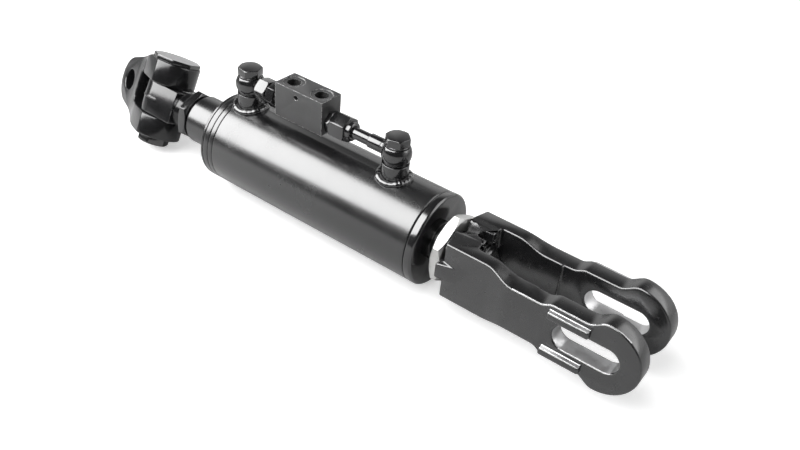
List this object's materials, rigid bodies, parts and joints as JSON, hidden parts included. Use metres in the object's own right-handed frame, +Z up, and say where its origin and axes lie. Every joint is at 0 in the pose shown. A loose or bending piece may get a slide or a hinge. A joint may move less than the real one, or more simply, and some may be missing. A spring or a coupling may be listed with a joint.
{
  "type": "hydraulic lower link stabilizer",
  "caption": "Double-acting hydraulic cylinder with a locking valve block on top, a pinned chassis clevis on its rod and a slotted forged fork on its base.",
  "frame": {"origin": "middle of the fork's slots, on the cylinder's axis", "axes": "+X along the cylinder from the chassis clevis towards the fork, +Y across the fork along its slot pin, +Z up through the oil ports"},
  "size_m": [0.5973, 0.0821, 0.1267],
  "materials": {
    "black_paint": "gloss",
    "forged_paint": "satin, rough forged skin",
    "weld_bead": "gloss, rippled",
    "rod_chrome": "polished",
    "plain_steel": "turned",
    "bright_steel": "ground",
    "zinc_steel": "zinc plated",
    "pin_steel": "dark with a bright turned top",
    "bush_steel": "ground",
    "spring_steel": "drawn wire",
    "seal_washer": "plain",
    "brass_seat": "turned",
    "rubber_seal": "matte",
    "blue_seal": "satin",
    "guide_ring": "matte"
  },
  "bodies": {
    "cylinder": {"barrel_tube": "black_paint", "port_bosses": "black_paint", "port_weld_beads": "weld_bead", "rod_gland": "black_paint", "rod_wiper": "rubber_seal", "rod_seal": "blue_seal", "rod_guide_ring": "guide_ring", "gland_o_ring": "rubber_seal", "base_cap": "black_paint", "base_stud": "plain_steel", "banjo_bolts": "black_paint", "banjo_washers": "seal_washer", "rod_end_banjo": "black_paint", "base_end_banjo": "black_paint", "valve_block": "black_paint", "rod_end_adapter": "black_paint", "base_end_adapter": "black_paint", "rod_end_pipe_nut": "black_paint", "base_end_pipe_nut": "black_paint", "rod_end_pipe": "black_paint", "base_end_pipe": "black_paint", "pipe_sleeve": "black_paint", "check_seats": "brass_seat", "rod_end_check_spring": "spring_steel", "base_end_check_spring": "spring_steel"},
    "pilot": {"pilot_piston": "bright_steel"},
    "rod_end_check": {"rod_end_poppet": "bright_steel"},
    "base_end_check": {"base_end_poppet": "bright_steel"},
    "piston_rings": {"piston_seal": "blue_seal", "piston_guide_rings": "guide_ring"},
    "rod": {"piston_rod": "rod_chrome", "piston": "bright_steel", "piston_o_ring": "rubber_seal", "piston_nut": "plain_steel"},
    "knuckle_nut": {"knuckle_lock_nut": "black_paint"},
    "knuckle": {"knuckle": "forged_paint", "knuckle_bush": "bush_steel"},
    "clevis": {"chassis_clevis": "forged_paint", "pivot_pin": "pin_steel", "pin_nut": "black_paint"},
    "fork_nut": {"fork_lock_nut": "zinc_steel"},
    "fork": {"lower_link_fork": "forged_paint"}
  },
  "joints": [
    {"name": "rod_stroke", "type": "slide", "parent": "cylinder", "child": "piston_rings", "axis": [-1, 0, 0], "range_m": [0, 0.096]},
    {"name": "rod_turn", "type": "hinge", "parent": "piston_rings", "child": "rod", "pos_m": [-0.3809, 0, 0], "axis": [1, 0, 0], "continuous": true},
    {"name": "knuckle_thread_travel", "type": "slide", "parent": "rod", "child": "knuckle_nut", "axis": [-1, 0, 0], "range_m": [0, 0.008]},
    {"name": "knuckle_adjust", "type": "hinge", "parent": "knuckle_nut", "child": "knuckle", "pos_m": [-0.4409, 0, 0], "axis": [-1, 0, 0], "range_deg": [0, 1440]},
    {"name": "clevis_swing", "type": "hinge", "parent": "knuckle", "child": "clevis", "pos_m": [-0.4709, 0, 0], "axis": [0, 0.454, 0.891], "range_deg": [-68, 112]},
    {"name": "fork_thread_travel", "type": "slide", "parent": "cylinder", "child": "fork_nut", "axis": [1, 0, 0], "range_m": [-0.004, 0.004]},
    {"name": "fork_adjust", "type": "hinge", "parent": "fork_nut", "child": "fork", "pos_m": [-0.1317, 0, 0], "axis": [1, 0, 0], "range_deg": [-720, 720]},
    {"name": "pilot_shift", "type": "slide", "parent": "cylinder", "child": "pilot", "axis": [1, 0, 0], "range_m": [-0.001, 0.001]},
    {"name": "rod_end_check_lift", "type": "slide", "parent": "cylinder", "child": "rod_end_check", "axis": [-1, 0, 0], "range_m": [0, 0.001], "stiffness_N_per_m": 1000, "springref_m": -0.001, "deforming": ["rod_end_check_spring"]},
    {"name": "base_end_check_lift", "type": "slide", "parent": "cylinder", "child": "base_end_check", "axis": [1, 0, 0], "range_m": [0, 0.001], "stiffness_N_per_m": 1000, "springref_m": -0.001, "deforming": ["base_end_check_spring"]}
  ],
  "couplings": [
    {"joint": "fork_thread_travel", "follows": "fork_adjust", "m_per_rad": 0.00031831},
    {"joint": "knuckle_thread_travel", "follows": "knuckle_adjust", "m_per_rad": 0.00031831}
  ]
}
